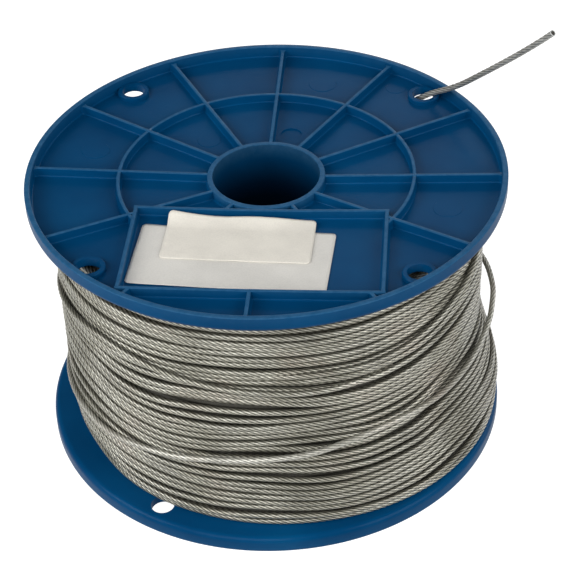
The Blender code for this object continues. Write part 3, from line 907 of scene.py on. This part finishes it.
def rib_strip(name, points, step=0.0, widths=None):
    """A rib with a filleted foot and a rounded top along a line of plan points."""
    section = rib_section()
    section = [(-side, rise) for side, rise in reversed(section)] + list(section)
    section = section[len(section) // 2:] + section[:len(section) // 2]
    count, around = len(points), len(section)
    vertices = []
    for index, point in enumerate(points):
        ahead = Vector(points[min(index + 1, count - 1)])
        behind = Vector(points[max(index - 1, 0)])
        along = (ahead - behind).normalized()
        across = Vector((-along.y, along.x))
        extra = widths[index] if widths else 0.0
        floor = plate_top(Vector(point).length) + step
        for side, rise in section:
            place = Vector(point) + across * (side + math.copysign(extra, side))
            vertices.append((place.x, place.y, floor + rise))
    last = tuple(range(around * count - 1, around * (count - 1) - 1, -1))
    faces = [tuple(range(around))] + bands(count, around) + [last]
    return add_object(name, mesh_from(name, vertices, faces))


def disc_on_plate(name, centre, radius, low, high, ease=0.0):
    """A round disc that follows the dished plate, from a depth to a rise over it."""
    vertices = []
    for rise, reach in ((low, radius), (high - ease, radius), (high, radius - ease)):
        for side in range(HOLE_SIDES):
            across, up = polar(reach, 2.0 * math.pi * side / HOLE_SIDES)
            x, y = centre[0] + across, centre[1] + up
            vertices.append((x, y, plate_top(math.hypot(x, y)) + rise))
    ends = [tuple(range(HOLE_SIDES)), tuple(range(3 * HOLE_SIDES - 1, 2 * HOLE_SIDES - 1, -1))]
    return add_object(name, mesh_from(name, vertices, bands(3, HOLE_SIDES) + ends))


def rib_stretches(angle):
    """The radii between which a radial rib runs, with the label pocket left free."""
    x, y = polar(1.0, angle)
    start = 0.5 * (BORE_RADIUS + HUB_RADIUS)
    end = RIM_INNER + 0.5 * RIM_WALL
    if y > -1e-6:
        return [(start, end)]
    enter = POCKET_NEAR / -y
    leave = min(POCKET_FAR / -y, 0.5 * POCKET_WIDTH / max(abs(x), 1e-6))
    if enter >= leave:
        return [(start, end)]
    return [(start, enter), (leave, end)]


def radial_rib(name, angle, start, end):
    """A radial rib that widens where it runs into the rim."""
    stations, widths = [start, end], [0.0, 0.0]
    flare_from = RIM_INNER - 2.0 * FLARE
    if end > RIM_INNER and start <= flare_from:
        stations = [start, flare_from, RIM_INNER - 0.8 * FLARE, RIM_INNER, end]
        widths = [0.0, 0.0, 0.25 * FLARE, FLARE, FLARE]
    return rib_strip(name, [polar(radius, angle) for radius in stations], 0.0, widths)


def make_ribs():
    """Radial ribs, the ring rib over the barrel and the walls of the label pocket."""
    ribs = []
    for index in range(RIB_COUNT):
        angle = 2.0 * math.pi * index / RIB_COUNT
        for part, (start, end) in enumerate(rib_stretches(angle)):
            if end - start > 0.5 * RIB_WIDTH:
                ribs.append(radial_rib(f"rib_{index}_{part}", angle, start, end))
    ring = BARREL_RADIUS - 0.5 * BARREL_WALL
    side = 0.5 * POCKET_WIDTH
    edge = math.acos(min(side / ring, 1.0))
    arc = [polar(ring, -edge + (math.pi + 2.0 * edge) * step / RING_STEPS)
           for step in range(RING_STEPS + 1)]
    ribs.append(rib_strip("ring_rib", arc, RING_RISE))
    over = side + 0.5 * RIB_WIDTH
    ends = {
        "near": ((-over, -POCKET_NEAR), (over, -POCKET_NEAR)),
        "far": ((-over, -POCKET_FAR), (over, -POCKET_FAR)),
        "left": ((-side, -POCKET_NEAR), (-side, -POCKET_FAR)),
        "right": ((side, -POCKET_NEAR), (side, -POCKET_FAR)),
    }
    for name, (first, last) in ends.items():
        line = [Vector(first).lerp(Vector(last), index / WALL_STEPS)
                for index in range(WALL_STEPS + 1)]
        ribs.append(rib_strip("pocket_" + name, line, POCKET_RISES[name]))
    return ribs


def mark_scuffs_and_painted_light(mesh):
    """Attributes of the moulding: scuffed top edges with a painted highlight, and painted shade
    in the bore.
    """
    place = np.zeros(3 * len(mesh.vertices), np.float32)
    mesh.vertices.foreach_get("co", place)
    place = place.reshape(-1, 3)
    radius, height = np.hypot(place[:, 0], place[:, 1]), place[:, 2]
    over = height - np.array(plate_top(radius))
    # Rib tops and the rim's top edge are marked lighter: scuffing together with a painted
    # highlight.
    lit_scuffed_tops = np.clip((over - RIB_HEIGHT + 0.9 * RIB_ROUND) / (0.6 * RIB_ROUND), 0.0, 1.0)
    edge = np.clip((height + 1.2 * RIM_ROUND) / (0.8 * RIM_ROUND), 0.0, 1.0)
    lit_scuffed_tops = np.where(radius > RIM_INNER - 0.5 * FILLET, edge, lit_scuffed_tops)
    # Painted shade in the bore: some at its top, darkest further down.
    deep = smooth_steps((BORE_TOP - height) / BORE_SHADE_REACH)
    bore_shade_share = np.where(radius < BORE_RADIUS + 0.0002, 0.35 + 0.6 * deep, 0.0)
    for name, values in (("scuff_and_highlight", lit_scuffed_tops), ("painted_bore_shade", bore_shade_share)):
        layer = mesh.attributes.new(name, "FLOAT", "POINT")
        layer.data.foreach_set("value", values.astype(np.float32))


def spool_half_mesh(material):
    """One moulding, face up, with its rim's edge at height 0."""
    body = add_object("moulding", turned("moulding", half_profile(), SPOOL_SIDES))
    tools = make_ribs()
    cutters = []
    for index in range(HOLE_COUNT):
        centre = polar(HOLE_CIRCLE, 2.0 * math.pi * (index + 0.5) / HOLE_COUNT)
        tools.append(disc_on_plate(f"collar_{index}", centre, HOLE_RADIUS + COLLAR_WALL,
                                   -0.5 * PLATE, COLLAR_HEIGHT, COLLAR_EASE))
        cutters.append(disc_on_plate(f"hole_{index}", centre, HOLE_RADIUS,
                                     -2.0 * PLATE, 2.0 * COLLAR_HEIGHT))
    for index, (centre, radius) in enumerate(MARKS):
        tools.append(disc_on_plate(f"mark_{index}", centre, radius, -0.5 * PLATE, MARK_RISE,
                                   MARK_EASE))
    cutters.append(disc_on_plate("pit", *PIT, -PIT_DEPTH, PLATE))
    groups = []
    for operation, items in (("UNION", tools), ("DIFFERENCE", cutters)):
        group = bpy.data.collections.new(operation)
        for item in items:
            group.objects.link(item)
        groups.append(group)
        modifier = body.modifiers.new(operation, "BOOLEAN")
        modifier.operation = operation
        modifier.operand_type = "COLLECTION"
        modifier.collection = group
        modifier.solver = "EXACT"
    bpy.context.view_layer.update()
    graph = bpy.context.evaluated_depsgraph_get()
    mesh = bpy.data.meshes.new_from_object(body.evaluated_get(graph))
    mesh.name = "spool_half"
    for item in [body] + tools + cutters:
        bpy.data.objects.remove(item, do_unlink=True)
    for group in groups:
        bpy.data.collections.remove(group)
    mesh.materials.clear()
    mesh.materials.append(material)
    mesh.shade_smooth()
    mesh.set_sharp_from_angle(angle=math.radians(38))
    mark_scuffs_and_painted_light(mesh)
    return mesh


def make_spool(material):
    """Both halves: the lower one is the same moulding turned over and round."""
    moulding = spool_half_mesh(material)
    places = (
        ("upper", Matrix.Translation((0.0, 0.0, SPOOL_HEIGHT))),
        ("lower", Matrix.Rotation(LOWER_TURN, 4, "Z") @ Matrix.Rotation(math.pi, 4, "X")),
    )
    halves = []
    for name, place in places:
        mesh = moulding.copy()
        mesh.transform(place)
        half = add_object(name + "_spool_moulding", mesh)
        smooth = half.modifiers.new("smooth", "WEIGHTED_NORMAL")
        smooth.keep_sharp = True
        smooth.weight = 80
        halves.append(half)
    return halves


# Labels

def rounded_corner(x, y, width, height):
    """A point of a rectangle, drawn in where it lies in a round corner."""
    over_x = abs(x) - (0.5 * width - CORNER_ROUND)
    over_y = abs(y) - (0.5 * height - CORNER_ROUND)
    if over_x > 0.0 and over_y > 0.0:
        reach = max(over_x, over_y) / math.hypot(over_x, over_y)
        x -= math.copysign(over_x * (1.0 - reach), x)
        y -= math.copysign(over_y * (1.0 - reach), y)
    return Vector((x, y))


def make_label(name, margins, lift, material, raised=0.0):
    """A paper label with round corners. Its far left corner may curl up off the plate."""
    left, right, near, far, turn = margins
    width = POCKET_WIDTH - left - right
    height = POCKET_FAR - POCKET_NEAR - near - far
    centre = Vector((0.5 * (left - right), -0.5 * (POCKET_NEAR + near + POCKET_FAR - far)))
    shape = bmesh.new()
    grid = []
    for row in range(LABEL_ROWS + 1):
        line = []
        for column in range(LABEL_COLUMNS + 1):
            x = width * (column / LABEL_COLUMNS - 0.5)
            y = height * (row / LABEL_ROWS - 0.5)
            plan = rounded_corner(x, y, width, height)
            across, up = plan.x / width + 0.5, plan.y / height + 0.5
            plan.rotate(Matrix.Rotation(turn, 2))
            plan += centre
            curl = raised * max(0.0, up - CURL_FROM) ** 2 * CURL_BEND
            curl *= 0.55 + 0.75 * (1.0 - across) ** 3 + 0.22 * math.cos(9.0 * across + 0.6)
            ripple = RIPPLE * abs(math.sin(11.0 * across + 2.0) * math.sin(7.0 * up + 1.0))
            floor = SPOOL_HEIGHT + plate_top(plan.length) + lift
            line.append(shape.verts.new((plan.x, plan.y, floor + curl + ripple)))
        grid.append(line)
    for low, high in zip(grid, grid[1:]):
        for column in range(LABEL_COLUMNS):
            corners = (low[column], low[column + 1], high[column + 1], high[column])
            shape.faces.new(corners).smooth = True
    label = add_object(name, mesh_of(name, shape), material)
    solid = label.modifiers.new("paper", "SOLIDIFY")
    solid.thickness = PAPER
    solid.offset = 1.0
    return label


# Stage

def make_floor():
    """A plain white floor that glows softly, but not under the spindle tube."""
    finish = Finish("pale_floor")
    reach = finish.add("ShaderNodeVectorMath", operation="LENGTH")
    finish.links.new(finish.place, reach.inputs[0])
    outside = finish.compute("GREATER_THAN", reach.outputs["Value"], GLOW_FROM)
    rays = finish.add("ShaderNodeLightPath")
    gleam = finish.compute("MULTIPLY_ADD", rays.outputs["Is Glossy Ray"],
                           FLOOR_GLEAM - FLOOR_GLOW, FLOOR_GLOW)
    glow = finish.compute("MAXIMUM", gleam, rays.outputs["Is Camera Ray"])
    finish.set({
        "Base Color": (0.30, 0.30, 0.30),
        "Roughness": 0.9,
        "Specular IOR Level": 0.1,
        "Emission Color": (1.0, 1.0, 1.0),
        "Emission Strength": finish.compute("MULTIPLY", outside, glow),
    })
    shape = bmesh.new()
    bmesh.ops.create_grid(shape, x_segments=2, y_segments=2, size=FLOOR_REACH)
    floor = add_object("floor", mesh_of("floor", shape), finish.material)
    floor.location.z = FLOOR_LEVEL


def make_room():
    """A white room that lights the spool faintly, and shines back in its gloss."""
    world = bpy.data.worlds.new("studio")
    world.use_nodes = True
    tree = Nodes(world.node_tree)
    rays = tree.add("ShaderNodeLightPath")
    room = tree.nodes["Background"]
    room.inputs["Color"].default_value = (1.0, 1.0, 1.0, 1.0)
    gleam = tree.compute("MULTIPLY_ADD", rays.outputs["Is Glossy Ray"],
                         ROOM_GLEAM - ROOM_LIGHT, ROOM_LIGHT)
    tree.links.new(gleam, room.inputs["Strength"])
    seen = tree.add("ShaderNodeBackground", Color=(1.0, 1.0, 1.0, 1.0), Strength=1.0)
    both = tree.add("ShaderNodeMixShader")
    sources = (rays.outputs["Is Camera Ray"], room.outputs[0], seen.outputs[0])
    for socket, source in zip(both.inputs, sources):
        tree.links.new(source, socket)
    tree.links.new(both.outputs[0], tree.nodes["World Output"].inputs["Surface"])
    bpy.context.scene.world = world


def make_stage():
    """A white floor in a pale room, with soft lights on all sides."""
    make_floor()
    for name, place, size, power in LIGHTS:
        data = bpy.data.lights.new(name, "AREA")
        data.size = size
        data.energy = power
        light = add_object(name, data)
        light.location = place
        light.rotation_euler = (LIGHTS_AIM - Vector(place)).to_track_quat("-Z", "Y").to_euler()
    make_room()
    bpy.context.scene.view_settings.view_transform = "Standard"


def main():
    make_camera()
    line, length = tail_line()
    line[-1] += TAIL_BACK * (line[-2] - line[-1])
    outward = np.broadcast_to(np.array(TAIL_OUTWARD), line.shape)
    tail = make_rope("rope_tail_end", line, outward, ROPE_SIDES, True,
                     rope_material(*ROPE_END_FINISH))
    cut_face = make_cut_face(Vector(line[-1]), Vector(line[-1] - line[-2]).normalized(),
                             plain_material("clear_plastic_edge", (0.42, 0.43, 0.42), 0.2),
                             plain_material("cut_steel", (0.07, 0.068, 0.06), 0.45, 0.9))
    for piece in (tail, cut_face):
        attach(piece, BODY)
    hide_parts("rope_tail")

    rope, lit_loose_rope = rope_material(*ROPE_FINISH), rope_material(*LIT_LOOSE_ROPE_FINISH)
    chance = np.random.default_rng(SEED)
    azimuth = np.arange(-180.0, 180.0)
    heights = row_heights(chance, azimuth)
    depths = row_depths(chance, azimuth)
    pieces = make_turns(heights, depths, rope)
    pieces.append(make_under_turns(heights, rope))
    for name, route in CROSSING_TURNS:
        # The slack turn takes the paler copy of the rope's finish: painted light.
        pieces.append(make_crossing("rope_turn_" + name, route,
                                    lit_loose_rope if name == "slack" else rope))
    # The core is near-black: painted shade of the turns deep in the winding.
    pieces.append(make_core(plain_material("deep_turns_painted_shade", (0.055, 0.052, 0.042), 0.6, 0.4)))
    for piece in pieces:
        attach(piece, BODY)
        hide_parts("rope_winding")

    upper, lower = make_spool(plastic_material())
    for half, node in ((upper, "upper_spool_half"), (lower, "lower_spool_half")):
        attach(half, BODY)
        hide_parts(node)

    large = make_label("large_paper_label", LARGE_LABEL, LARGE_LIFT,
                       paper_material("white_paper", (0.82, 0.80, 0.75)))
    small = make_label("small_paper_label", SMALL_LABEL, SMALL_LIFT,
                       paper_material("cream_paper", (0.92, 0.88, 0.79)), CURL)
    for label, node, slot in ((large, "large_label", "white_paper"),
                              (small, "small_label", "cream_paper")):
        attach(label, BODY)
        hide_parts(node)
    make_stage()


main()
